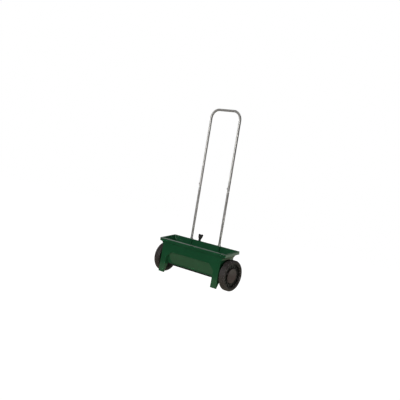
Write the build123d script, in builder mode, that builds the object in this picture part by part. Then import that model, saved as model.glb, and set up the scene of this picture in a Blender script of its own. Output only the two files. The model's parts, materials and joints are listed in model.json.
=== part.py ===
"""Push drop spreader for lawn feed and seed.

A long moulded hopper stands on two wheels and two front legs. The wheels share
one axle that runs through the foot of the hopper and turns an agitator over a
row of drop holes. A shutter under the holes slides along the hopper and is
moved by a lever at the back. A two-piece tube handle drops into sockets in the
rear wall.

Frame: +X to the right hand of the front view, +Y to the rear (the side of the
person pushing), +Z up, origin on the ground at the centre of the bounding box.
The spreader is parked: both wheels and both legs are on the ground, so the
hopper leans forward by PARK degrees and the handle stands almost upright.
Millimetres.
"""

from build123d import *
from math import sin, cos, tan, atan2, degrees, radians, pi
import os

os.makedirs("parts", exist_ok=True)

# ---------------------------------------------------------------- dimensions
WHEEL_R = 100.0          # 8 inch wheels
PARK = 15.0              # forward lean of the hopper when parked on its legs
AXLE_Y = 7.194           # puts the origin under the middle of the bounding box

RIM_Z = 146.0            # rim above the axle, hopper frame
RIM_X = 281.5            # half length over the rim
RIM_FRONT, RIM_BACK = -80.0, 81.0
RIM_EAR = (249.0, -69.5)  # the front edge runs back from this x to this y at the ends
RIM_CORNER = 4.0
LIP_H = 20.0             # height of the turned-down lip
WALL = 3.0
LIP_WALL, LIP_TOP, LIP_ROUND = 4.6, 5.0, 3.0
BODY_X = 249.0           # half length of the body below the flare
FLARE_Z = 97.0           # the flare starts here
APRON_Y = -71.45         # front face at FLARE_Z
BACK_SLOPE = 17.0        # the rear wall runs forward going down
BACK_Y = 62.471           # outside of the rear wall at FLARE_Z

LEG_IN, ARCH_X, ARCH_LOW, ARCH_TOP = 203.0, 162.0, 30.0, 65.5
FOOT_Y = -104.0          # front of the feet, hopper frame
FOOT_DEPTH = 8.0
PANEL_TOP, PANEL_BOTTOM = (-73.0, 68.0), (-62.0, -16.0)  # front face of the recessed panel

FLOOR_T = 3.0            # trough floor
FLOOR_Z = -24.0          # inside of the trough floor
CHANNEL_Y = 28.0         # half width of the metering channel
SLOT_Y, SLOT_X = 12.0, 206.0

N_HOLES, HOLE_PITCH, HOLE_R = 17, 24.0, 5.0
SHUTTER_T = 2.8
SHUTTER_GAP = 0.25

AXLE_R = 5.0
RUN = 0.05               # running clearance on radius
AXLE_END = 291.8
BUSH_R, BUSH_FLANGE_R = 9.0, 13.0

TUBE_R, TUBE_WALL = 8.0, 1.0
TUBE_X = 120.0
TUBE_LEAN = 8.5          # the tubes lean back from the hopper's up
TUBE_Y = 70.0            # tube axis at the rim
SOCKET_R, SOCKET_DEPTH = 11.6, 118.0
JOINT_S = 358.0          # along the tube, from the rim
TOP_S = 890.0
BEND_R = 60.0
NECK = 4.0               # reduced neck that shows between the tubes
SPIGOT = 48.0

TYRE_IN, TYRE_OUT = 259.0, 303.0
TYRE_MID = (TYRE_IN + TYRE_OUT) / 2
WEB_IN, WEB_OUT = 280.0, 284.0
PIN_X = 285.2             # drive pin through hub and axle
TYRE_BEAD_R = 79.5
CAP_R = 47.8
CAP_FACE = 296.0          # outer face of the hub cap, inside the tyre's face
LUGS = 40

LEVER_X = -64.0
PIVOT_Z = 20.0           # height of the lever pivot above the axle
LEVER_ARM = 50.0         # pivot to the shutter pin
TAB_W = (6.0, 8.5)       # shutter tab, off the rear wall
LEVER_W = (9.5, 12.5)    # lever strip, off the rear wall

SCREW_X, SCREW_Y, SCREW_R = (-216.0, -108.0, 0.0, 108.0, 216.0), 22.0, 2.0

# -------------------------------------------------------------------- frames
s, c = sin(radians(PARK)), cos(radians(PARK))
FOOT_FRONT = (FOOT_Y, (-WHEEL_R - FOOT_Y * s) / c)   # on the ground when parked
# the front face runs forward going down, in one plane from the flare to the feet
APRON_LEAN = degrees(atan2(APRON_Y - FOOT_FRONT[0], FLARE_Z - FOOT_FRONT[1]))
AXLE = Vector(0, AXLE_Y, WHEEL_R)
RIGHT = Vector(1, 0, 0)
UP = Vector(0, -s, c)            # hopper up
BACK = Vector(0, c, s)           # hopper back


def at(x, y, z):
    """A point given in the hopper frame."""
    return AXLE + RIGHT * x + BACK * y + UP * z


TOP = Plane(origin=AXLE, x_dir=RIGHT, z_dir=UP)         # (x, back)
SIDE = Plane(origin=AXLE, x_dir=BACK, z_dir=RIGHT)      # (back, up)
FRONT = Plane(origin=AXLE, x_dir=RIGHT, z_dir=-BACK)    # (x, up)
SPIN = Plane(origin=AXLE, x_dir=RIGHT, z_dir=(0, -1, 0))  # (x, radius)
AXLE_AXIS = Axis(tuple(AXLE), (1, 0, 0))

lean = radians(TUBE_LEAN)
TUBE_DIR = BACK * sin(lean) + UP * cos(lean)
TUBE_NORMAL = BACK * cos(lean) - UP * sin(lean)         # to the rear, square to the tubes
HANDLE = Plane(origin=at(0, TUBE_Y, RIM_Z), x_dir=RIGHT, z_dir=-TUBE_NORMAL)  # (x, along tube)

slope = radians(BACK_SLOPE)
WALL_UP = BACK * sin(slope) + UP * cos(slope)
WALL_OUT = BACK * cos(slope) - UP * sin(slope)


def apron(z):
    return APRON_Y - (FLARE_Z - z) * tan(radians(APRON_LEAN))


def rear(z):
    return BACK_Y - (FLARE_Z - z) * tan(slope)


# Plane of the rear wall at the lever: (x from the lever, up the wall), +z off the wall
LEVER = Plane(origin=at(LEVER_X, rear(PIVOT_Z), PIVOT_Z), x_dir=-RIGHT, z_dir=WALL_OUT)


def socket(side):
    return Plane(origin=at(side * TUBE_X, TUBE_Y, RIM_Z), x_dir=RIGHT, z_dir=TUBE_DIR)


def tube_cross(side, along):
    """Plane across a tube, +z to the rear, for bolts and screws."""
    return Plane(
        origin=at(side * TUBE_X, TUBE_Y, RIM_Z) + TUBE_DIR * along,
        x_dir=RIGHT,
        z_dir=TUBE_NORMAL,
    )


def floor_point(depth):
    """A point on the ground behind the front edge of the foot, hopper frame."""
    return (FOOT_FRONT[0] + depth * c, FOOT_FRONT[1] - depth * s)


def rim_outline(inset):
    """Outline of the rim in plan: straight front edge with ends that run back."""
    x, y = RIM_EAR
    return [
        (-x + 0.2 * inset, RIM_FRONT + inset),
        (x - 0.2 * inset, RIM_FRONT + inset),
        (RIM_X - inset, y + 0.8 * inset),
        (RIM_X - inset, RIM_BACK - inset),
        (-RIM_X + inset, RIM_BACK - inset),
        (-RIM_X + inset, y + 0.8 * inset),
    ]


# ------------------------------------------------------- recess behind the arch
# Tray that closes the arch between the legs: side returns, a ledge and the panel.
foot_back = floor_point(FOOT_DEPTH)
arch_outer = [
    (LEG_IN + WALL, -110.0),
    (LEG_IN + WALL, ARCH_LOW + 1.4),
    (ARCH_X + 1.4, ARCH_TOP + WALL),
    (-ARCH_X - 1.4, ARCH_TOP + WALL),
    (-LEG_IN - WALL, ARCH_LOW + 1.4),
    (-LEG_IN - WALL, -110.0),
]
arch_inner = [
    (LEG_IN, -112.0),
    (LEG_IN, ARCH_LOW),
    (ARCH_X, ARCH_TOP),
    (-ARCH_X, ARCH_TOP),
    (-LEG_IN, ARCH_LOW),
    (-LEG_IN, -112.0),
]
# hollow in front of the panel
with BuildPart() as hollow:
    with BuildSketch(SIDE.offset(-LEG_IN - 20)):
        Polygon(
            (-130, 90),
            (-130, -120),
            (-20, -120),
            (-20, PANEL_BOTTOM[1]),
            PANEL_BOTTOM,
            PANEL_TOP,
            (PANEL_TOP[0] - 0.6, 90),
            align=None,
        )
    extrude(amount=2 * LEG_IN + 40)
    with BuildSketch(FRONT.offset(-20)):
        Polygon(*arch_inner, align=None)
    extrude(amount=160, mode=Mode.INTERSECT)

with BuildPart() as tray:
    with BuildSketch(SIDE.offset(-LEG_IN - WALL)):
        Polygon(
            (apron(76), 76),
            FOOT_FRONT,
            foot_back,
            (PANEL_BOTTOM[0] + WALL, PANEL_BOTTOM[1]),
            (PANEL_TOP[0] + WALL - 0.6, 76),
            align=None,
        )
    extrude(amount=2 * (LEG_IN + WALL))
    with BuildSketch(FRONT):
        Polygon(*arch_outer, align=None)
    extrude(amount=130, mode=Mode.INTERSECT)
    add(hollow.part, mode=Mode.SUBTRACT)
    # turned edge along the foot of the panel
    with BuildSketch(SIDE.offset(-LEG_IN)):
        with Locations((PANEL_BOTTOM[0] - 1.2, PANEL_BOTTOM[1] + 2.4)):
            RectangleRounded(7.6, 4.8, 1.8)
    extrude(amount=2 * LEG_IN)

# front plate of the apron over the arch, with its chamfered shoulders
with BuildPart() as shoulders:
    with BuildSketch(SIDE.offset(-LEG_IN - 2)):
        Polygon(
            (apron(FLARE_Z), FLARE_Z),
            (apron(ARCH_LOW - 20), ARCH_LOW - 20),
            (apron(ARCH_LOW - 20) + WALL, ARCH_LOW - 20),
            (apron(FLARE_Z) + WALL, FLARE_Z),
            align=None,
        )
    extrude(amount=2 * (LEG_IN + 2))
    with BuildSketch(FRONT):
        Polygon(*arch_inner, align=None)
    extrude(amount=160, mode=Mode.SUBTRACT)

# --------------------------------------------------------------------- hopper
with BuildPart() as hopper:
    # lip: a band around the rim, hollow below
    with BuildSketch(TOP.offset(RIM_Z - LIP_H)) as rim:
        Polygon(*rim_outline(0), align=None)
        fillet(rim.vertices(), RIM_CORNER)
    extrude(amount=LIP_H)
    fillet(hopper.faces().sort_by(Axis(tuple(AXLE), tuple(UP)))[-1].edges(), LIP_ROUND)
    with BuildSketch(TOP.offset(RIM_Z - LIP_H)):
        Polygon(*rim_outline(LIP_WALL), align=None)
    extrude(amount=LIP_H - LIP_TOP, mode=Mode.SUBTRACT)
    # the ends and the rear wall flare out to the lip, the front stays flat
    flare = [
        (FLARE_Z, 2 * BODY_X, APRON_Y, BACK_Y, 5.0),
        (RIM_Z - LIP_TOP + 0.4, 2 * (RIM_X - 4.0), apron(RIM_Z - LIP_TOP + 0.4), RIM_BACK - 4.0, 5.0),
    ]
    for z, width, y0, y1, r in flare:
        with BuildSketch(TOP.offset(z)):
            with Locations((0, (y0 + y1) / 2)):
                RectangleRounded(width, y1 - y0, r)
    loft()
    # body: apron plane in front, sloped rear wall, trough and channel flange
    with BuildSketch(SIDE):
        Polygon(
            (apron(FLARE_Z), FLARE_Z),
            (apron(ARCH_TOP + 1), ARCH_TOP + 1),
            (-70.0, ARCH_TOP - 6),
            (-26.0, -15.0),
            (-CHANNEL_Y, FLOOR_Z),
            (-CHANNEL_Y, FLOOR_Z - FLOOR_T),
            (CHANNEL_Y, FLOOR_Z - FLOOR_T),
            (CHANNEL_Y, FLOOR_Z),
            (rear(FLOOR_Z + 1), FLOOR_Z + 1),
            (BACK_Y, FLARE_Z),
            align=None,
        )
    extrude(amount=BODY_X, both=True)
    # end plates carry on down as the outer sides of the legs
    with BuildSketch(SIDE.offset(BODY_X - WALL)):
        Polygon(
            (apron(FLARE_Z), FLARE_Z),
            FOOT_FRONT,
            foot_back,
            (-72.0, -44.0),
            (-56.0, -26.0),
            (-30.0, FLOOR_Z - 12),
            (CHANNEL_Y, FLOOR_Z - 12),
            (rear(FLOOR_Z), FLOOR_Z),
            (BACK_Y, FLARE_Z),
            align=None,
        )
    extrude(amount=WALL)
    # front face of apron and legs
    with BuildSketch(SIDE.offset(LEG_IN)):
        Polygon(
            (apron(FLARE_Z), FLARE_Z),
            FOOT_FRONT,
            (FOOT_FRONT[0] + WALL, FOOT_FRONT[1] - WALL * s),
            (apron(FLARE_Z) + WALL, FLARE_Z),
            align=None,
        )
    extrude(amount=BODY_X - LEG_IN)
    # foot plates
    with BuildSketch(SIDE.offset(LEG_IN)):
        Polygon(
            FOOT_FRONT,
            foot_back,
            (foot_back[0] + WALL * s, foot_back[1] + WALL * c),
            (FOOT_FRONT[0] + WALL * s, FOOT_FRONT[1] + WALL * c),
            align=None,
        )
    extrude(amount=BODY_X - LEG_IN)
    mirror(about=Plane.YZ)
    add(shoulders.part)
    add(tray.part)
    # axle bosses
    with BuildSketch(SIDE.offset(BODY_X - 10)):
        Circle(17)
    extrude(amount=12)
    with BuildSketch(SIDE.offset(-BODY_X + 10)):
        Circle(17)
    extrude(amount=-12)
    # inside of the hopper
    for z, width, y0, y1, r in (
        (FLARE_Z, 2 * (BODY_X - WALL), APRON_Y + WALL, BACK_Y - WALL, 3.0),
        (RIM_Z + 0.5, 2 * (RIM_X - 8.5), apron(RIM_Z) + WALL, RIM_BACK - 8.5, 5.0),
    ):
        with BuildSketch(TOP.offset(z)):
            with Locations((0, (y0 + y1) / 2)):
                RectangleRounded(width, y1 - y0, r)
    loft(mode=Mode.SUBTRACT)
    with BuildSketch(SIDE) as cavity:
        Polygon(
            (APRON_Y + WALL, FLARE_Z + 0.01),
            (apron(ARCH_TOP + 6) + WALL, ARCH_TOP + 6),
            (-66.5, ARCH_TOP - 6),
            (-22.0, -15.0),
            (-13.0, FLOOR_Z),
            (13.0, FLOOR_Z),
            (rear(-13) - WALL / cos(slope), -13),
            (BACK_Y - WALL, FLARE_Z + 0.01),
            align=None,
        )
    extrude(amount=BODY_X - WALL, both=True, mode=Mode.SUBTRACT)
    # inner halves of the axle bosses stand in the cavity
    with BuildSketch(SIDE.offset(BODY_X - 9)):
        Circle(15)
    extrude(amount=9)
    with BuildSketch(SIDE.offset(-BODY_X + 9)):
        Circle(15)
    extrude(amount=-9)
    with BuildSketch(SIDE):
        Circle(BUSH_R)
    extrude(amount=BODY_X + 20, both=True, mode=Mode.SUBTRACT)
    # slot in the trough floor
    with BuildSketch(TOP.offset(FLOOR_Z - FLOOR_T - 1)):
        SlotOverall(2 * SLOT_X, 2 * SLOT_Y)
    extrude(amount=FLOOR_T + 2, mode=Mode.SUBTRACT)
    # blind holes for the guide screws
    with BuildSketch(TOP.offset(FLOOR_Z - FLOOR_T - 1)):
        with Locations(*[(x, y) for x in SCREW_X for y in (-SCREW_Y, SCREW_Y)]):
            Circle(SCREW_R)
    extrude(amount=7, mode=Mode.SUBTRACT)
    # sockets for the handle tubes
    for side in (-1, 1):
        with BuildSketch(socket(side).offset(3)):
            Circle(SOCKET_R)
        extrude(amount=-(SOCKET_DEPTH + 7))
    for side in (-1, 1):
        with BuildSketch(socket(side).offset(8)):
            Circle(TUBE_R + 0.15)
        extrude(amount=-(SOCKET_DEPTH + 8), mode=Mode.SUBTRACT)
        with BuildSketch(tube_cross(side, -60)):
            Circle(2.4)
        extrude(amount=20, mode=Mode.SUBTRACT)
    # boss and screw hole for the lever pivot
    with BuildSketch(LEVER.offset(-1.5)):
        Circle(8)
    extrude(amount=LEVER_W[0] - 0.2 + 1.5)
    with BuildSketch(LEVER.offset(-1.5)):
        Circle(2.5)
    extrude(amount=LEVER_W[0] + 3, mode=Mode.SUBTRACT)
hopper.part.label = "hopper"
export_step(hopper.part, "parts/hopper.step")

# ------------------------------------------------------------------ wind skirt
with BuildPart() as wind_skirt:
    with BuildSketch(SIDE.offset(-LEG_IN)):
        with Locations((PANEL_BOTTOM[0] - 0.6, PANEL_BOTTOM[1] - 5.0)):
            RectangleRounded(3.6, 10.0, 1.0)
    extrude(amount=2 * LEG_IN)
wind_skirt.part.label = "wind_skirt"
export_step(wind_skirt.part, "parts/wind_skirt.step")

# -------------------------------------------------------------- metering plates
PLATE_TOP = FLOOR_Z - FLOOR_T
PLATE_BOTTOM = PLATE_TOP - 1.5
SHUT_TOP = PLATE_BOTTOM - SHUTTER_GAP
SHUT_BOTTOM = SHUT_TOP - SHUTTER_T
RAIL_SPACE = SHUT_BOTTOM - SHUTTER_GAP      # underside of the rail's spacer
RAIL_BOTTOM = RAIL_SPACE - 2.0
SHUT_Y = 16.0

with BuildPart() as drop_plate:
    with BuildSketch(TOP.offset(PLATE_BOTTOM)):
        Rectangle(464, 54)
        with GridLocations(HOLE_PITCH, 1, N_HOLES, 1):
            Circle(HOLE_R, mode=Mode.SUBTRACT)
        with Locations(*[(x, y) for x in SCREW_X for y in (-SCREW_Y, SCREW_Y)]):
            Circle(SCREW_R, mode=Mode.SUBTRACT)
    extrude(amount=1.5)
drop_plate.part.label = "drop_plate"
export_step(drop_plate.part, "parts/drop_plate.step")

with BuildPart() as front_guide:
    with BuildSketch(SIDE.offset(-232)):
        Polygon(
            (-27, PLATE_BOTTOM),
            (-SHUT_Y - 0.25, PLATE_BOTTOM),
            (-SHUT_Y - 0.25, RAIL_SPACE),
            (-12, RAIL_SPACE),
            (-12, RAIL_BOTTOM),
            (-27, RAIL_BOTTOM),
            align=None,
        )
    extrude(amount=464)
    with BuildSketch(TOP.offset(RAIL_BOTTOM)):
        with Locations(*[(x, -SCREW_Y) for x in SCREW_X]):
            Circle(SCREW_R)
    extrude(amount=10, mode=Mode.SUBTRACT)
front_guide.part.label = "front_guide"
export_step(front_guide.part, "parts/front_guide.step")

with BuildPart() as rear_guide:
    with BuildSketch(SIDE.offset(-232)):
        Polygon(
            (27, PLATE_BOTTOM),
            (SHUT_Y + 0.25, PLATE_BOTTOM),
            (SHUT_Y + 0.25, RAIL_SPACE),
            (12, RAIL_SPACE),
            (12, RAIL_BOTTOM),
            (27, RAIL_BOTTOM),
            align=None,
        )
    extrude(amount=464)
    # window that the shutter's tab slides through
    with BuildSketch(TOP.offset(RAIL_SPACE)):
        with Locations((LEVER_X - 6, 22)):
            Rectangle(32, 30)
    extrude(amount=10, mode=Mode.SUBTRACT)
    with BuildSketch(TOP.offset(RAIL_BOTTOM)):
        with Locations(*[(x, SCREW_Y) for x in SCREW_X]):
            Circle(SCREW_R)
    extrude(amount=10, mode=Mode.SUBTRACT)
rear_guide.part.label = "rear_guide"
export_step(rear_guide.part, "parts/rear_guide.step")

with BuildPart() as guide_screws:
    with BuildSketch(TOP.offset(RAIL_BOTTOM)):
        with Locations(*[(x, y) for x in SCREW_X for y in (-SCREW_Y, SCREW_Y)]):
            Circle(SCREW_R)
    extrude(amount=PLATE_TOP + 6 - RAIL_BOTTOM)
    with BuildSketch(TOP.offset(RAIL_BOTTOM)):
        with Locations(*[(x, y) for x in SCREW_X for y in (-SCREW_Y, SCREW_Y)]):
            Circle(3.8)
    extrude(amount=-1.6, taper=35)
guide_screws.part.label = "guide_screws"
export_step(guide_screws.part, "parts/guide_screws.step")

# Shutter, drawn closed: its holes stand half a pitch off the drop holes
with BuildPart() as shutter:
    with BuildSketch(TOP.offset(SHUT_BOTTOM)):
        Rectangle(440, 2 * SHUT_Y)
        with Locations((LEVER_X, 23.6)):
            Rectangle(14, 18)
        with Locations((HOLE_PITCH / 2, 0)):
            with GridLocations(HOLE_PITCH, 1, N_HOLES, 1):
                Circle(HOLE_R, mode=Mode.SUBTRACT)
    extrude(amount=SHUTTER_T)
    # tab that carries the link pin
    with BuildSketch(LEVER.offset(TAB_W[0])):
        with Locations((0, -LEVER_ARM + 0.5)):
            RectangleRounded(14, 13, 3)
    extrude(amount=TAB_W[1] - TAB_W[0])
    with BuildSketch(LEVER.offset(TAB_W[0] - 1)):
        with Locations((0, -LEVER_ARM)):
            Circle(2.0)
    extrude(amount=6, mode=Mode.SUBTRACT)
shutter.part.label = "shutter"
export_step(shutter.part, "parts/shutter.step")

with BuildPart() as link_pin:
    with BuildSketch(LEVER.offset(TAB_W[0])):
        with Locations((0, -LEVER_ARM)):
            Circle(2.0)
    extrude(amount=LEVER_W[1] + 0.4 - TAB_W[0])
    with BuildSketch(LEVER.offset(LEVER_W[1] + 0.4)):
        with Locations((0, -LEVER_ARM)):
            Circle(4.0)
    extrude(amount=1.2)
link_pin.part.label = "link_pin"
export_step(link_pin.part, "parts/link_pin.step")

# ------------------------------------------------------------------ flow lever
GRIP_FOOT = 132.0        # along the lever from its pivot
with BuildPart() as flow_lever:
    with BuildSketch(LEVER.offset(LEVER_W[0])):
        with BuildLine():
            Polyline(
                (-6.5, -LEVER_ARM - 5.5),
                (6.5, -LEVER_ARM - 5.5),
                (6.5, -12),
                (9.5, 0),
                (7.0, 16),
                (5.5, GRIP_FOOT + 22),
                (-5.5, GRIP_FOOT + 22),
                (-7.0, 16),
                (-9.5, 0),
                (-6.5, -12),
                close=True,
            )
        make_face()
        Circle(4.0 + RUN, mode=Mode.SUBTRACT)
        with Locations((0, -LEVER_ARM - 0.2)):
            SlotOverall(6.6, 4.3, rotation=90, mode=Mode.SUBTRACT)
    extrude(amount=LEVER_W[1] - LEVER_W[0])
flow_lever.part.label = "flow_lever"
export_step(flow_lever.part, "parts/flow_lever.step")

# forked grip moulded over the head of the lever
with BuildPart() as lever_grip:
    with BuildSketch(LEVER.offset(LEVER_W[0] - 3.5)):
        with BuildLine():
            Polyline(
                (-7.5, GRIP_FOOT),
                (7.5, GRIP_FOOT),
                (8.5, GRIP_FOOT + 14),
                (14.5, GRIP_FOOT + 22),
                (17.5, GRIP_FOOT + 43),
                (9.0, GRIP_FOOT + 46),
                (0, GRIP_FOOT + 38),
                (-9.0, GRIP_FOOT + 46),
                (-17.5, GRIP_FOOT + 43),
                (-14.5, GRIP_FOOT + 22),
                (-8.5, GRIP_FOOT + 14),
                close=True,
            )
        make_face()
        fillet(vertices(), 2.0)
    extrude(amount=10)
    chamfer(faces().sort_by(Axis((0, 0, 0), tuple(WALL_OUT)))[-1].edges(), 1.0)
    chamfer(faces().sort_by(Axis((0, 0, 0), tuple(WALL_OUT)))[0].edges(), 1.0)
    add(flow_lever.part, mode=Mode.SUBTRACT)
lever_grip.part.label = "lever_grip"
export_step(lever_grip.part, "parts/lever_grip.step")

with BuildPart() as pivot_screw:
    with BuildSketch(LEVER.offset(-1.3)):
        Circle(2.5)
    extrude(amount=LEVER_W[0] - 0.2 + 1.3)
    with BuildSketch(LEVER.offset(LEVER_W[0] - 0.2)):
        Circle(4.0)
    extrude(amount=LEVER_W[1] - LEVER_W[0] + 0.5)
    with BuildSketch(LEVER.offset(LEVER_W[1] + 0.3)):
        Circle(7.5)
    extrude(amount=3.2)
    fillet(pivot_screw.edges().filter_by(GeomType.CIRCLE).sort_by(Axis((0, 0, 0), tuple(WALL_OUT)))[-1], 1.2)
    with BuildSketch(LEVER.offset(LEVER_W[1] + 2.3)):
        Rectangle(12, 1.6)
    extrude(amount=2, mode=Mode.SUBTRACT)
pivot_screw.part.label = "pivot_screw"
export_step(pivot_screw.part, "parts/pivot_screw.step")

# flow scale on the rear face of the lip, one tick for each step of the lever
with BuildPart() as flow_scale:
    with BuildSketch(Plane(origin=at(LEVER_X + 20, RIM_BACK, RIM_Z - 10), x_dir=-RIGHT, z_dir=BACK)):
        RectangleRounded(84, 14, 2.5)
    extrude(amount=0.8)
    with BuildSketch(Plane(origin=at(LEVER_X + 20, RIM_BACK + 0.8, RIM_Z - 10), x_dir=-RIGHT, z_dir=BACK)):
        with Locations(*[(20 - 5.4 * k, 0) for k in range(6)]):
            Rectangle(0.9, 7)
    extrude(amount=0.3)
flow_scale.part.label = "flow_scale"
export_step(flow_scale.part, "parts/flow_scale.step")

# ------------------------------------------------------------------------ axle
with BuildPart() as axle:
    with BuildSketch(SIDE.offset(-AXLE_END)):
        Circle(AXLE_R)
    extrude(amount=2 * AXLE_END)
    chamfer(axle.edges().filter_by(GeomType.CIRCLE), 0.8)
    # cross hole for the drive pin
    with BuildSketch(FRONT.offset(-20)):
        with Locations((PIN_X, 0)):
            Circle(2.0)
    extrude(amount=40, mode=Mode.SUBTRACT)
axle.part.label = "axle"
export_step(axle.part, "parts/axle.step")

# agitator: a hub on the axle with a cross of fingers over every drop hole
with BuildPart() as agitator:
    with BuildSketch(SIDE.offset(-SLOT_X)):
        Circle(7.5)
    extrude(amount=2 * SLOT_X)
    for k in range(N_HOLES):
        x = (k - (N_HOLES - 1) / 2) * HOLE_PITCH
        with BuildSketch(SIDE.offset(x - 3)):
            Rectangle(42, 5, rotation=45 * (k % 2) + 20)
            Rectangle(5, 42, rotation=45 * (k % 2) + 20)
        extrude(amount=6)
    with BuildSketch(SIDE.offset(-SLOT_X)):
        Circle(AXLE_R)
    extrude(amount=2 * SLOT_X, mode=Mode.SUBTRACT)
agitator.part.label = "agitator"
export_step(agitator.part, "parts/agitator.step")

with BuildPart() as right_bush:
    with BuildSketch(SPIN):
        Polygon(
            (BODY_X - 9, AXLE_R + RUN),
            (BODY_X + 4.5, AXLE_R + RUN),
            (BODY_X + 4.5, BUSH_FLANGE_R),
            (BODY_X + 2, BUSH_FLANGE_R),
            (BODY_X + 2, BUSH_R),
            (BODY_X - 9, BUSH_R),
            align=None,
        )
    revolve(axis=AXLE_AXIS)
right_bush.part.label = "right_bush"
export_step(right_bush.part, "parts/right_bush.step")

with BuildPart() as left_bush:
    mirror(right_bush.part, about=Plane.YZ)
left_bush.part.label = "left_bush"
export_step(left_bush.part, "parts/left_bush.step")

with BuildPart() as axle_washers:
    for x in (BODY_X + 4.8, -BODY_X - 6.3):
        with BuildSketch(SIDE.offset(x)):
            Circle(11)
            Circle(AXLE_R, mode=Mode.SUBTRACT)
        extrude(amount=1.5)
axle_washers.part.label = "axle_washers"
export_step(axle_washers.part, "parts/axle_washers.step")

# ---------------------------------------------------------------------- wheels
HUB_IN, HUB_OUT = BODY_X + 6.6, 288.5
with BuildPart() as right_wheel:
    with BuildSketch(SPIN):
        Polygon(
            (HUB_IN, AXLE_R + RUN),
            (HUB_OUT, AXLE_R + RUN),
            (HUB_OUT, 15),
            (WEB_OUT + 1, 17),
            (WEB_OUT, 44.5),
            (WEB_OUT + 6, 44.5),
            (WEB_OUT + 6, 46),
            (WEB_OUT, 47.5),
            (WEB_OUT, 74.5),
            (TYRE_OUT - 6.5, 76.5),
            (TYRE_OUT - 6.5, TYRE_BEAD_R),
            (TYRE_IN + 6.5, TYRE_BEAD_R),
            (TYRE_IN + 6.5, 76.5),
            (WEB_IN, 74.5),
            (WEB_IN, 17),
            (HUB_IN, 15),
            align=None,
        )
    revolve(axis=AXLE_AXIS)
    # radial ribs in the recessed ring
    with BuildSketch(SIDE.offset(WEB_OUT - 0.5)):
        with PolarLocations(61, 16):
            Rectangle(29, 3.2)
    extrude(amount=5)
    # cross hole for the drive pin
    with BuildSketch(FRONT.offset(-16.5)):
        with Locations((PIN_X, 0)):
            Circle(2.0)
    extrude(amount=33, mode=Mode.SUBTRACT)
right_wheel.part.label = "right_wheel"
export_step(right_wheel.part, "parts/right_wheel.step")

with BuildPart() as left_wheel:
    with BuildSketch(SPIN):
        Polygon(
            (-HUB_IN, AXLE_R + RUN),
            (-HUB_OUT, AXLE_R + RUN),
            (-HUB_OUT, 15),
            (-(WEB_OUT + 1), 17),
            (-(WEB_OUT), 44.5),
            (-(WEB_OUT + 6), 44.5),
            (-(WEB_OUT + 6), 46),
            (-(WEB_OUT), 47.5),
            (-(WEB_OUT), 74.5),
            (-(TYRE_OUT - 6.5), 76.5),
            (-(TYRE_OUT - 6.5), TYRE_BEAD_R),
            (-(TYRE_IN + 6.5), TYRE_BEAD_R),
            (-(TYRE_IN + 6.5), 76.5),
            (-(WEB_IN), 74.5),
            (-(WEB_IN), 17),
            (-HUB_IN, 15),
            align=None,
        )
    revolve(axis=AXLE_AXIS)
    with BuildSketch(SIDE.offset(-WEB_OUT + 0.5)):
        with PolarLocations(61, 16):
            Rectangle(29, 3.2)
    extrude(amount=-5)
left_wheel.part.label = "left_wheel"
export_step(left_wheel.part, "parts/left_wheel.step")

# tyre: two rows of tread blocks, the rows half a block apart
with BuildPart() as right_tyre:
    with BuildSketch(SPIN) as tyre_section:
        with BuildLine():
            Polyline(
                (TYRE_IN + 6.5, TYRE_BEAD_R),
                (TYRE_OUT - 6.5, TYRE_BEAD_R),
                (TYRE_OUT - 3.2, 80.9),
                (TYRE_OUT - 0.9, 83.8),
                (TYRE_OUT, 88),
                (TYRE_OUT - 0.9, 93),
                (TYRE_OUT - 4, 97.5),
                (TYRE_OUT - 9, WHEEL_R),
                (TYRE_IN + 9, WHEEL_R),
                (TYRE_IN + 4, 97.5),
                (TYRE_IN + 0.9, 93),
                (TYRE_IN, 88),
                (TYRE_IN + 0.9, 83.8),
                (TYRE_IN + 3.2, 80.9),
                close=True,
            )
        make_face()
    revolve(axis=AXLE_AXIS)
    for x0, x1, turn in ((TYRE_IN - 1, TYRE_MID - 2.5, 0.0), (TYRE_MID + 2.5, TYRE_OUT + 1, 0.5)):
        with BuildSketch(SIDE.offset(x0)):
            with PolarLocations(WHEEL_R + 1, LUGS, start_angle=(turn + 0.5) * 360 / LUGS):
                Rectangle(8, 4.6)
        extrude(amount=x1 - x0, mode=Mode.SUBTRACT)
right_tyre.part.label = "right_tyre"
export_step(right_tyre.part, "parts/right_tyre.step")

with BuildPart() as left_tyre:
    mirror(right_tyre.part, about=Plane.YZ)
left_tyre.part.label = "left_tyre"
export_step(left_tyre.part, "parts/left_tyre.step")

with BuildPart() as right_hub_cap:
    with BuildSketch(SPIN):
        Polygon(
            (CAP_FACE, 0),
            (CAP_FACE - 0.6, 30),
            (CAP_FACE - 1.6, 44),
            (CAP_FACE - 2.6, CAP_R - 0.6),
            (CAP_FACE - 3.6, CAP_R),
            (CAP_FACE - 5.6, CAP_R),
            (CAP_FACE - 5.6, 46.4),
            (CAP_FACE - 4.4, 46.0),
            (CAP_FACE - 4.4, 44.5),
            (CAP_FACE - 11, 44.5),
            (CAP_FACE - 11, 42),
            (CAP_FACE - 4.4, 42),
            (CAP_FACE - 3, 30),
            (CAP_FACE - 3, 0),
            align=None,
        )
    revolve(axis=AXLE_AXIS)
right_hub_cap.part.label = "right_hub_cap"
export_step(right_hub_cap.part, "parts/right_hub_cap.step")

with BuildPart() as left_hub_cap:
    mirror(right_hub_cap.part, about=Plane.YZ)
left_hub_cap.part.label = "left_hub_cap"
export_step(left_hub_cap.part, "parts/left_hub_cap.step")

with BuildPart() as drive_pin:
    with BuildSketch(FRONT.offset(-16.5)):
        with Locations((PIN_X, 0)):
            Circle(2.0)
    extrude(amount=33)
drive_pin.part.label = "drive_pin"
export_step(drive_pin.part, "parts/drive_pin.step")

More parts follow.
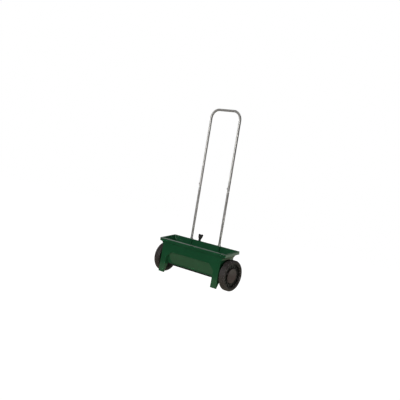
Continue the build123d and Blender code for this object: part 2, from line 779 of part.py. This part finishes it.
# push-on rings that hold the wheels on the axle
with BuildPart() as retaining_rings:
    for x in (HUB_OUT + 0.3, -HUB_OUT - 1.8):
        with BuildSketch(SIDE.offset(x)):
            Circle(10)
            Circle(AXLE_R, mode=Mode.SUBTRACT)
        extrude(amount=1.5)
retaining_rings.part.label = "retaining_rings"
export_step(retaining_rings.part, "parts/retaining_rings.step")

# ---------------------------------------------------------------------- handle
with BuildPart() as upper_handle:
    with BuildLine(HANDLE) as u_path:
        FilletPolyline(
            (-TUBE_X, JOINT_S + NECK),
            (-TUBE_X, TOP_S),
            (TUBE_X, TOP_S),
            (TUBE_X, JOINT_S + NECK),
            radius=BEND_R,
        )
    with BuildSketch(Plane(origin=u_path.line @ 0, z_dir=u_path.line % 0)):
        Circle(TUBE_R)
        Circle(TUBE_R - TUBE_WALL, mode=Mode.SUBTRACT)
    sweep(path=u_path.line)
    for side in (-1, 1):
        with BuildSketch(Plane(origin=at(side * TUBE_X, TUBE_Y, RIM_Z) + TUBE_DIR * (JOINT_S + 24), x_dir=TUBE_DIR, z_dir=-RIGHT)):
            Circle(2.2)
        extrude(amount=12, mode=Mode.SUBTRACT)
upper_handle.part.label = "upper_handle"
export_step(upper_handle.part, "parts/upper_handle.step")

with BuildPart() as right_lower_tube:
    with BuildSketch(socket(1).offset(-SOCKET_DEPTH)):
        Circle(TUBE_R)
        Circle(TUBE_R - TUBE_WALL, mode=Mode.SUBTRACT)
    extrude(amount=SOCKET_DEPTH + JOINT_S)
    with BuildSketch(tube_cross(1, -60)):
        Circle(2.4)
    extrude(amount=20, mode=Mode.SUBTRACT)
right_lower_tube.part.label = "right_lower_tube"
export_step(right_lower_tube.part, "parts/right_lower_tube.step")

with BuildPart() as left_lower_tube:
    mirror(right_lower_tube.part, about=Plane.YZ)
left_lower_tube.part.label = "left_lower_tube"
export_step(left_lower_tube.part, "parts/left_lower_tube.step")

# spigots: reduced inner tubes that join the lower tubes to the upper one
with BuildPart() as right_spigot:
    with BuildSketch(socket(1).offset(JOINT_S - SPIGOT)):
        Circle(TUBE_R - TUBE_WALL)
        Circle(TUBE_R - 2 * TUBE_WALL, mode=Mode.SUBTRACT)
    extrude(amount=2 * SPIGOT + NECK)
    with BuildSketch(Plane(origin=at(TUBE_X, TUBE_Y, RIM_Z) + TUBE_DIR * (JOINT_S + 24), x_dir=TUBE_DIR, z_dir=-RIGHT)):
        Circle(2.2)
    extrude(amount=12, mode=Mode.SUBTRACT)
right_spigot.part.label = "right_spigot"
export_step(right_spigot.part, "parts/right_spigot.step")

with BuildPart() as left_spigot:
    with BuildSketch(socket(-1).offset(JOINT_S - SPIGOT)):
        Circle(TUBE_R - TUBE_WALL)
        Circle(TUBE_R - 2 * TUBE_WALL, mode=Mode.SUBTRACT)
    extrude(amount=2 * SPIGOT + NECK)
    with BuildSketch(Plane(origin=at(-TUBE_X, TUBE_Y, RIM_Z) + TUBE_DIR * (JOINT_S + 24), x_dir=TUBE_DIR, z_dir=-RIGHT)):
        Circle(2.2)
    extrude(amount=12, mode=Mode.SUBTRACT)
left_spigot.part.label = "left_spigot"
export_step(left_spigot.part, "parts/left_spigot.step")

with BuildPart() as joint_screws:
    for side in (-1, 1):
        screw = Plane(
            origin=at(side * TUBE_X, TUBE_Y, RIM_Z) + TUBE_DIR * (JOINT_S + 24),
            x_dir=TUBE_DIR,
            z_dir=-RIGHT,
        )
        with BuildSketch(screw.offset(3.0)):
            Circle(2.2)
        extrude(amount=TUBE_R - 3.0 + 0.6)
        with BuildSketch(screw.offset(TUBE_R)):
            Circle(6.0)
        extrude(amount=4.2, taper=12)
joint_screws.part.label = "joint_screws"
export_step(joint_screws.part, "parts/joint_screws.step")

with BuildPart() as socket_screws:
    for side in (-1, 1):
        with BuildSketch(tube_cross(side, -60).offset(3.5)):
            Circle(2.4)
        extrude(amount=SOCKET_R - 3.5 + 0.5)
        with BuildSketch(tube_cross(side, -60).offset(SOCKET_R)):
            Circle(5.0)
        extrude(amount=3.4, taper=12)
socket_screws.part.label = "socket_screws"
export_step(socket_screws.part, "parts/socket_screws.step")

with BuildPart() as right_collar:
    with BuildSketch(socket(1).offset(3)):
        Circle(SOCKET_R - 0.6)
        Circle(TUBE_R, mode=Mode.SUBTRACT)
    extrude(amount=5)
    chamfer(right_collar.faces().sort_by(Axis((0, 0, 0), tuple(TUBE_DIR)))[-1].edges().sort_by(SortBy.RADIUS)[-1], 1.2)
right_collar.part.label = "right_collar"
export_step(right_collar.part, "parts/right_collar.step")

with BuildPart() as left_collar:
    mirror(right_collar.part, about=Plane.YZ)
left_collar.part.label = "left_collar"
export_step(left_collar.part, "parts/left_collar.step")
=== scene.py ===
"""Looks, light and camera for the drop spreader. Every length is in metres, in the model's own frame."""
import bpy, bmesh, json, math
from mathutils import Vector, Matrix, Quaternion


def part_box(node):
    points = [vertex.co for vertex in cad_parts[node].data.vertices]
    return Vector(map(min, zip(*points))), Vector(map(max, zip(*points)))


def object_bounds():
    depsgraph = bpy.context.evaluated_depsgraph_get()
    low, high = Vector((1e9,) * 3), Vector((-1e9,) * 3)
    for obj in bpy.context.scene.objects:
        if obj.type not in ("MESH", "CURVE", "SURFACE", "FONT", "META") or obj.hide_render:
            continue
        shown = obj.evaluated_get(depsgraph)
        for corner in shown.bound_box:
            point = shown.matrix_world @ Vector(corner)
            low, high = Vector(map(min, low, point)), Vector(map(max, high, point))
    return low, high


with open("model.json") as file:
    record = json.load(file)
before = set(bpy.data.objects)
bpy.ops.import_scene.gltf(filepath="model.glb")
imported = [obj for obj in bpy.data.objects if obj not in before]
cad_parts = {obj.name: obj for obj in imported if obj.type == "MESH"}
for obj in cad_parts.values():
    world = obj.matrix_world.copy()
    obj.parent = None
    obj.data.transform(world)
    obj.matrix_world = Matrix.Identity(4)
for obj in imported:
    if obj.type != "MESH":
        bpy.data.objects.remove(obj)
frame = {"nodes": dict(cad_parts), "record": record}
cad_lo, cad_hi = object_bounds()
nodes = frame["nodes"]
scene = bpy.context.scene

PARK = math.radians(15.0)      # forward lean of the hopper while parked
UP = Vector((0, -math.sin(PARK), math.cos(PARK)))
BACK = Vector((0, math.cos(PARK), math.sin(PARK)))
X = Vector((1, 0, 0))


# ------------------------------------------------------------------ materials
def new_material(name):
    m = bpy.data.materials.new(name)
    m.use_nodes = True
    nt = m.node_tree
    return m, nt, nt.nodes["Principled BSDF"]


def node(nt, kind, **inputs):
    n = nt.nodes.new(kind)
    for k, v in inputs.items():
        n.inputs[k.replace("_", " ")].default_value = v
    return n


def ramp(nt, source, stops):
    r = nt.nodes.new("ShaderNodeValToRGB")
    el = r.color_ramp.elements
    while len(el) < len(stops):
        el.new(0.5)
    for e, (p, c) in zip(el, stops):
        e.position = p
        e.color = c if len(c) == 4 else (*c, 1)
    nt.links.new(source, r.inputs["Fac"])
    return r.outputs["Color"]


def object_coords(nt):
    return nt.nodes.new("ShaderNodeTexCoord").outputs["Object"]


def noise(nt, scale, detail=3.0, rough=0.5, vector=None):
    n = nt.nodes.new("ShaderNodeTexNoise")
    n.inputs["Scale"].default_value = scale
    n.inputs["Detail"].default_value = detail
    n.inputs["Roughness"].default_value = rough
    nt.links.new(vector if vector is not None else object_coords(nt), n.inputs["Vector"])
    return n.outputs["Fac"]


def bump(nt, b, height, strength, distance, before=None):
    n = nt.nodes.new("ShaderNodeBump")
    n.inputs["Strength"].default_value = strength
    n.inputs["Distance"].default_value = distance
    nt.links.new(height, n.inputs["Height"])
    if before is not None:
        nt.links.new(before, n.inputs["Normal"])
    nt.links.new(n.outputs["Normal"], b.inputs["Normal"])
    return n.outputs["Normal"]


def edge_rub_and_highlight(nt, width=0.0012):
    """1 on corners and edges, 0 elsewhere: compares the normal with one smoothed over a small radius."""
    bev = nt.nodes.new("ShaderNodeBevel")
    bev.samples = 4
    bev.inputs["Radius"].default_value = width
    geo = nt.nodes.new("ShaderNodeNewGeometry")
    dot = nt.nodes.new("ShaderNodeVectorMath")
    dot.operation = "DOT_PRODUCT"
    nt.links.new(bev.outputs["Normal"], dot.inputs[0])
    nt.links.new(geo.outputs["Normal"], dot.inputs[1])
    r = nt.nodes.new("ShaderNodeMapRange")
    r.inputs["From Min"].default_value = 0.995
    r.inputs["From Max"].default_value = 0.86
    nt.links.new(dot.outputs["Value"], r.inputs["Value"])
    return r.outputs["Result"]


def mix(nt, fac, a, b):
    """Mixes two colours: a and b are sockets or constants."""
    m = nt.nodes.new("ShaderNodeMix")
    m.data_type = "RGBA"
    if hasattr(fac, "links"):
        nt.links.new(fac, m.inputs["Factor"])
    else:
        m.inputs["Factor"].default_value = fac
    for socket, v in ((m.inputs[6], a), (m.inputs[7], b)):
        if hasattr(v, "links"):
            nt.links.new(v, socket)
        else:
            socket.default_value = (*v, 1)
    return m.outputs[2]


def plastic(name, dark, light, rough=(0.34, 0.46), grain=900.0, grain_depth=0.00008, rub_and_highlight_colour=None, rub_and_highlight_amount=0.5, ior=1.46, coat=0.0):
    """Moulded plastic: slow colour drift, fine moulded grain, and paler edges: rubbed wear on most plastics, a painted
    highlight on the green and the tyre.
    """
    m, nt, b = new_material(name)
    drift = noise(nt, 9.0, 4.0, 0.6)
    colour = ramp(nt, drift, [(0.32, dark), (0.68, light)])
    if rub_and_highlight_colour is not None:
        # pale edges: rubbed wear on most plastics, a painted highlight on the green and the tyre
        corner = edge_rub_and_highlight(nt)
        k = nt.nodes.new("ShaderNodeMath")
        k.operation = "MULTIPLY"
        nt.links.new(corner, k.inputs[0])
        k.inputs[1].default_value = rub_and_highlight_amount
        colour = mix(nt, k.outputs[0], colour, rub_and_highlight_colour)
    nt.links.new(colour, b.inputs["Base Color"])
    smear = noise(nt, 38.0, 5.0, 0.62)
    r = nt.nodes.new("ShaderNodeMapRange")
    r.inputs["From Min"].default_value = 0.3
    r.inputs["From Max"].default_value = 0.7
    r.inputs["To Min"].default_value = rough[0]
    r.inputs["To Max"].default_value = rough[1]
    nt.links.new(smear, r.inputs["Value"])
    nt.links.new(r.outputs["Result"], b.inputs["Roughness"])
    b.inputs["IOR"].default_value = ior
    b.inputs["Coat Weight"].default_value = coat
    bump(nt, b, noise(nt, grain, 2.0, 0.5), 0.35, grain_depth)
    return m


def metal(name, colour, rough=(0.16, 0.3), streak=(1, 1, 1), grain=500.0, depth=0.00002, metallic=1.0):
    m, nt, b = new_material(name)
    b.inputs["Metallic"].default_value = metallic
    mp = nt.nodes.new("ShaderNodeMapping")
    mp.inputs["Scale"].default_value = streak
    nt.links.new(object_coords(nt), mp.inputs["Vector"])
    n = noise(nt, grain, 4.0, 0.6, mp.outputs["Vector"])
    dark = tuple(v * 0.86 for v in colour)
    nt.links.new(ramp(nt, noise(nt, 14.0, 4.0, 0.6), [(0.3, dark), (0.7, colour)]), b.inputs["Base Color"])
    r = nt.nodes.new("ShaderNodeMapRange")
    r.inputs["From Min"].default_value = 0.3
    r.inputs["From Max"].default_value = 0.7
    r.inputs["To Min"].default_value = rough[0]
    r.inputs["To Max"].default_value = rough[1]
    nt.links.new(n, r.inputs["Value"])
    nt.links.new(r.outputs["Result"], b.inputs["Roughness"])
    bump(nt, b, n, 0.25, depth)
    return m


M = {
    # the green's pale edge colour is a painted highlight for the lit edge of the rim
    "green": plastic("green_plastic", (0.0090, 0.066, 0.026), (0.0125, 0.080, 0.033), rough=(0.17, 0.25), rub_and_highlight_colour=(0.10, 0.20, 0.12), rub_and_highlight_amount=0.45),
    "black": plastic("black_plastic", (0.008, 0.008, 0.0085), (0.014, 0.0135, 0.013), rough=(0.4, 0.55), rub_and_highlight_colour=(0.05, 0.05, 0.05)),
    "grip": plastic("grip_black", (0.004, 0.004, 0.0035), (0.008, 0.0078, 0.007), rough=(0.55, 0.7), rub_and_highlight_colour=(0.05, 0.05, 0.048), grain=1400.0),
    # near-black, darker than the black plastic: the skirt's own black plus painted shade for the dark line under the
    # panel
    "skirt": plastic("skirt_black_and_painted_shade", (0.0035, 0.0035, 0.0035), (0.005, 0.005, 0.005), rough=(0.6, 0.7), rub_and_highlight_colour=(0.03, 0.03, 0.03), ior=1.3),
    "wheel": plastic("wheel_black", (0.010, 0.009, 0.0085), (0.016, 0.0145, 0.0135), rough=(0.42, 0.56), rub_and_highlight_colour=(0.06, 0.055, 0.05)),
    # the tyre's pale edge colour is a painted highlight along the tyre's edges
    "tyre": plastic("tyre_black", (0.022, 0.0168, 0.0162), (0.035, 0.027, 0.0262), rough=(0.5, 0.66), rub_and_highlight_colour=(0.10, 0.09, 0.085), rub_and_highlight_amount=0.7, grain=1200.0),
    "cap": plastic("cap_grey", (0.043, 0.0248, 0.0268), (0.058, 0.0348, 0.037), rough=(0.3, 0.42), rub_and_highlight_colour=(0.16, 0.14, 0.13)),
    "grey": plastic("grey_plastic", (0.16, 0.16, 0.155), (0.22, 0.22, 0.21), rough=(0.4, 0.5)),
    "bush": plastic("bush_plastic", (0.5, 0.5, 0.47), (0.6, 0.6, 0.57), rough=(0.35, 0.45)),
    "collar": plastic("collar_grey", (0.30, 0.31, 0.30), (0.38, 0.39, 0.38), rough=(0.35, 0.45), rub_and_highlight_colour=(0.5, 0.5, 0.5)),
    "handle": metal("handle_steel", (0.50, 0.485, 0.465), rough=(0.32, 0.42), streak=(1, 1, 0.04), metallic=0.35),
    # the lower tubes take a darker copy of the same handle steel: painted shade
    "lower": metal("handle_steel_lower", (0.33, 0.32, 0.305), rough=(0.30, 0.40), streak=(1, 1, 0.04), metallic=0.45),
    # the spigot is near-white and barely metallic: a painted highlight ring where it shows in the handle joints
    "spigot": metal("spigot_steel", (0.95, 0.95, 0.94), rough=(0.3, 0.4), streak=(1, 1, 0.04), metallic=0.1),
    "zinc": metal("zinc_steel", (0.58, 0.57, 0.53), rough=(0.25, 0.45)),
    "axle": metal("axle_steel", (0.5, 0.5, 0.5), rough=(0.2, 0.35), streak=(0.04, 1, 1)),
    "scale": metal("scale_aluminium", (0.75, 0.75, 0.74), rough=(0.3, 0.42), streak=(0.05, 1, 1)),
}
# the raised graduation bars of the flow scale are painted black
scale_nt = M["scale"].node_tree
scale_b = scale_nt.nodes["Principled BSDF"]
depth = scale_nt.nodes.new("ShaderNodeVectorMath")
depth.operation = "DOT_PRODUCT"
scale_nt.links.new(object_coords(scale_nt), depth.inputs[0])
depth.inputs[1].default_value = BACK
axle_mid = (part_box("axle")[0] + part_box("axle")[1]) / 2
raised = scale_nt.nodes.new("ShaderNodeMath")
raised.operation = "GREATER_THAN"
scale_nt.links.new(depth.outputs["Value"], raised.inputs[0])
raised.inputs[1].default_value = BACK.dot(axle_mid) + 0.08195
plate = scale_b.inputs["Base Color"].links[0].from_socket
scale_nt.links.new(mix(scale_nt, raised.outputs[0], plate, (0.01, 0.01, 0.01)), scale_b.inputs["Base Color"])
bare = scale_nt.nodes.new("ShaderNodeMath")
bare.operation = "SUBTRACT"
bare.inputs[0].default_value = 1.0
scale_nt.links.new(raised.outputs[0], bare.inputs[1])
scale_nt.links.new(bare.outputs[0], scale_b.inputs["Metallic"])

SLOT = {
    "green_plastic": "green", "black_plastic": "black", "grip_black": "grip", "grey_plastic": "grey",
    "bush_plastic": "bush", "wheel_black": "wheel", "tyre_black": "tyre", "cap_grey": "cap",
    "collar_grey": "collar", "zinc_steel": "zinc", "axle_steel": "axle", "spigot_steel": "spigot",
    "handle_steel": "handle", "scale_aluminium": "scale",
}
for sub in frame["record"]["subparts"]:
    o = nodes[sub["node"]]
    o.data.materials.clear()
    look = SLOT[sub["material_slot"]]
    # lower tubes get the darker steel copy, painted shade
    if sub["node"].endswith("lower_tube"):
        look = "lower"
    # the wind skirt takes the near-black that adds painted shade along the panel's bottom
    if sub["node"] == "wind_skirt":
        look = "skirt"
    o.data.materials.append(M[look])

# ---------------------------------------------------------------------- floor
lo, hi = cad_lo, cad_hi
centre = (lo + hi) / 2
me = bpy.data.meshes.new("floor")
me.from_pydata([(-40, -40, 0), (40, -40, 0), (40, 40, 0), (-40, 40, 0)], [], [(0, 1, 2, 3)])
floor = bpy.data.objects.new("floor", me)
scene.collection.objects.link(floor)
fm, nt, b = new_material("floor_white")
b.inputs["Base Color"].default_value = (0.8, 0.8, 0.8, 1)
b.inputs["Roughness"].default_value = 0.95
b.inputs["Specular IOR Level"].default_value = 0.0
lp = nt.nodes.new("ShaderNodeLightPath")
nt.links.new(mix(nt, lp.outputs["Is Camera Ray"], (1.0, 0.96, 0.66), (1, 1, 1)), b.inputs["Emission Color"])
# the lit sweep: white paper close to the object that fades out further away
away = nt.nodes.new("ShaderNodeVectorMath")
away.operation = "LENGTH"
nt.links.new(object_coords(nt), away.inputs[0])
near = nt.nodes.new("ShaderNodeMapRange")
near.interpolation_type = "SMOOTHSTEP"
near.inputs["From Min"].default_value = 0.60
near.inputs["From Max"].default_value = 1.0
near.inputs["To Min"].default_value = 1.0
near.inputs["To Max"].default_value = 0.0
nt.links.new(away.outputs["Value"], near.inputs["Value"])
# its front edge runs across just ahead of the wheels
split = nt.nodes.new("ShaderNodeSeparateXYZ")
nt.links.new(object_coords(nt), split.inputs[0])
front = nt.nodes.new("ShaderNodeMapRange")
front.interpolation_type = "SMOOTHSTEP"
front.inputs["From Min"].default_value = -0.34
front.inputs["From Max"].default_value = -0.24
nt.links.new(split.outputs["Y"], front.inputs["Value"])
lit = nt.nodes.new("ShaderNodeMath")
lit.operation = "MULTIPLY"
nt.links.new(near.outputs["Result"], lit.inputs[0])
nt.links.new(front.outputs["Result"], lit.inputs[1])
level = nt.nodes.new("ShaderNodeMapRange")
level.inputs["To Min"].default_value = 0.02
level.inputs["To Max"].default_value = 0.37
nt.links.new(lit.outputs[0], level.inputs["Value"])
nt.links.new(ramp(nt, lit.outputs[0], [(0.0, (0.0, 0.0, 0.0)), (1.0, (0.25, 0.25, 0.25))]), b.inputs["Base Color"])
glow = nt.nodes.new("ShaderNodeMix")
glow.data_type = "FLOAT"
nt.links.new(lp.outputs["Is Camera Ray"], glow.inputs["Factor"])
nt.links.new(level.outputs["Result"], glow.inputs[2])
glow.inputs[3].default_value = 1.05
nt.links.new(glow.outputs[0], b.inputs["Emission Strength"])
me.materials.append(fm)

# ---------------------------------------------------------------------- world
world = bpy.data.worlds.new("studio")
scene.world = world
world.use_nodes = True
wt = world.node_tree
bg = wt.nodes["Background"]
bg.inputs["Color"].default_value = (1, 1, 1, 1)
lp = wt.nodes.new("ShaderNodeLightPath")
tc = wt.nodes.new("ShaderNodeTexCoord")


def card(direction, start, full, level, total):
    """Adds a soft white card to the surroundings, in a direction from the object."""
    d = wt.nodes.new("ShaderNodeVectorMath")
    d.operation = "DOT_PRODUCT"
    wt.links.new(tc.outputs["Generated"], d.inputs[0])
    d.inputs[1].default_value = Vector(direction).normalized()
    r = wt.nodes.new("ShaderNodeMapRange")
    r.interpolation_type = "SMOOTHSTEP"
    r.inputs["From Min"].default_value = start
    r.inputs["From Max"].default_value = full
    r.inputs["To Max"].default_value = level
    wt.links.new(d.outputs["Value"], r.inputs["Value"])
    s = wt.nodes.new("ShaderNodeMath")
    s.operation = "ADD"
    wt.links.new(r.outputs["Result"], s.inputs[0])
    if total is None:
        s.inputs[1].default_value = 0.03
    else:
        wt.links.new(total, s.inputs[1])
    return s.outputs[0]


total = card((-0.90, 0.40, 0.05), 0.74, 0.94, 0.75, None)
total = card((-1.0, -0.12, -0.05), 0.90, 0.97, 3.0, total)
total = card((-0.1, -0.2, 1.0), 0.88, 0.96, 0.4, total)
pick = wt.nodes.new("ShaderNodeMix")
pick.data_type = "FLOAT"
wt.links.new(lp.outputs["Is Camera Ray"], pick.inputs["Factor"])
wt.links.new(total, pick.inputs[2])
pick.inputs[3].default_value = 1.0
wt.links.new(pick.outputs[0], bg.inputs["Strength"])


# --------------------------------------------------------------------- lights
def area(name, at, towards, size, power, spread=math.pi, colour=(1, 1, 1)):
    light = bpy.data.lights.new(name, "AREA")
    light.shape = "RECTANGLE"
    light.size, light.size_y = size
    light.energy = power
    light.spread = spread
    light.color = colour
    o = bpy.data.objects.new(name, light)
    scene.collection.objects.link(o)
    o.location = at
    o.visible_camera = False
    o.rotation_mode = "QUATERNION"
    o.rotation_quaternion = (Vector(towards) - Vector(at)).to_track_quat("-Z", "Y")
    return o


area("key", (0.2, -3.0, 0.75), (0, 0, 0.15), (1.2, 0.8), 53)
area("top", (0.5, 0.6, 2.7), (0, 0, 0.2), (1.2, 1.2), 10)
area("rear", (1.0, 0.85, 0.2), (0.28, 0.03, 0.2), (0.6, 0.25), 0.85, colour=(0.92, 1.0, 0.84))
area("side", (2.5, -0.3, 0.15), (0.25, -0.02, 0.12), (0.8, 0.24), 0.6, math.radians(30))

# --------------------------------------------------------------------- camera
cam = bpy.data.cameras.new("camera")
cam.sensor_width = 36.0
cam.lens = 54.23
cam.clip_start, cam.clip_end = 0.05, 200
cam_o = bpy.data.objects.new("camera", cam)
scene.collection.objects.link(cam_o)
scene.camera = cam_o
axle = (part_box("axle")[0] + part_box("axle")[1]) / 2
axle.x = 0.0


def tilt(v):
    """From the hopper's own frame (x, back, up) to the model's frame."""
    return X * v[0] + BACK * v[1] + UP * v[2]


cam_o.location = axle + tilt((2.45343, -2.99504, 1.11742))
ahead = tilt((-0.62597, 0.76067, -0.17191)).normalized()
right = tilt((0.7627, 0.6433, 0.0676))
right = (right - ahead * right.dot(ahead)).normalized()
above = right.cross(ahead)
cam_o.rotation_mode = "QUATERNION"
cam_o.rotation_quaternion = Matrix((right, above, -ahead)).transposed().to_quaternion()

scene.view_settings.view_transform = "Standard"
scene.view_settings.look = "None"
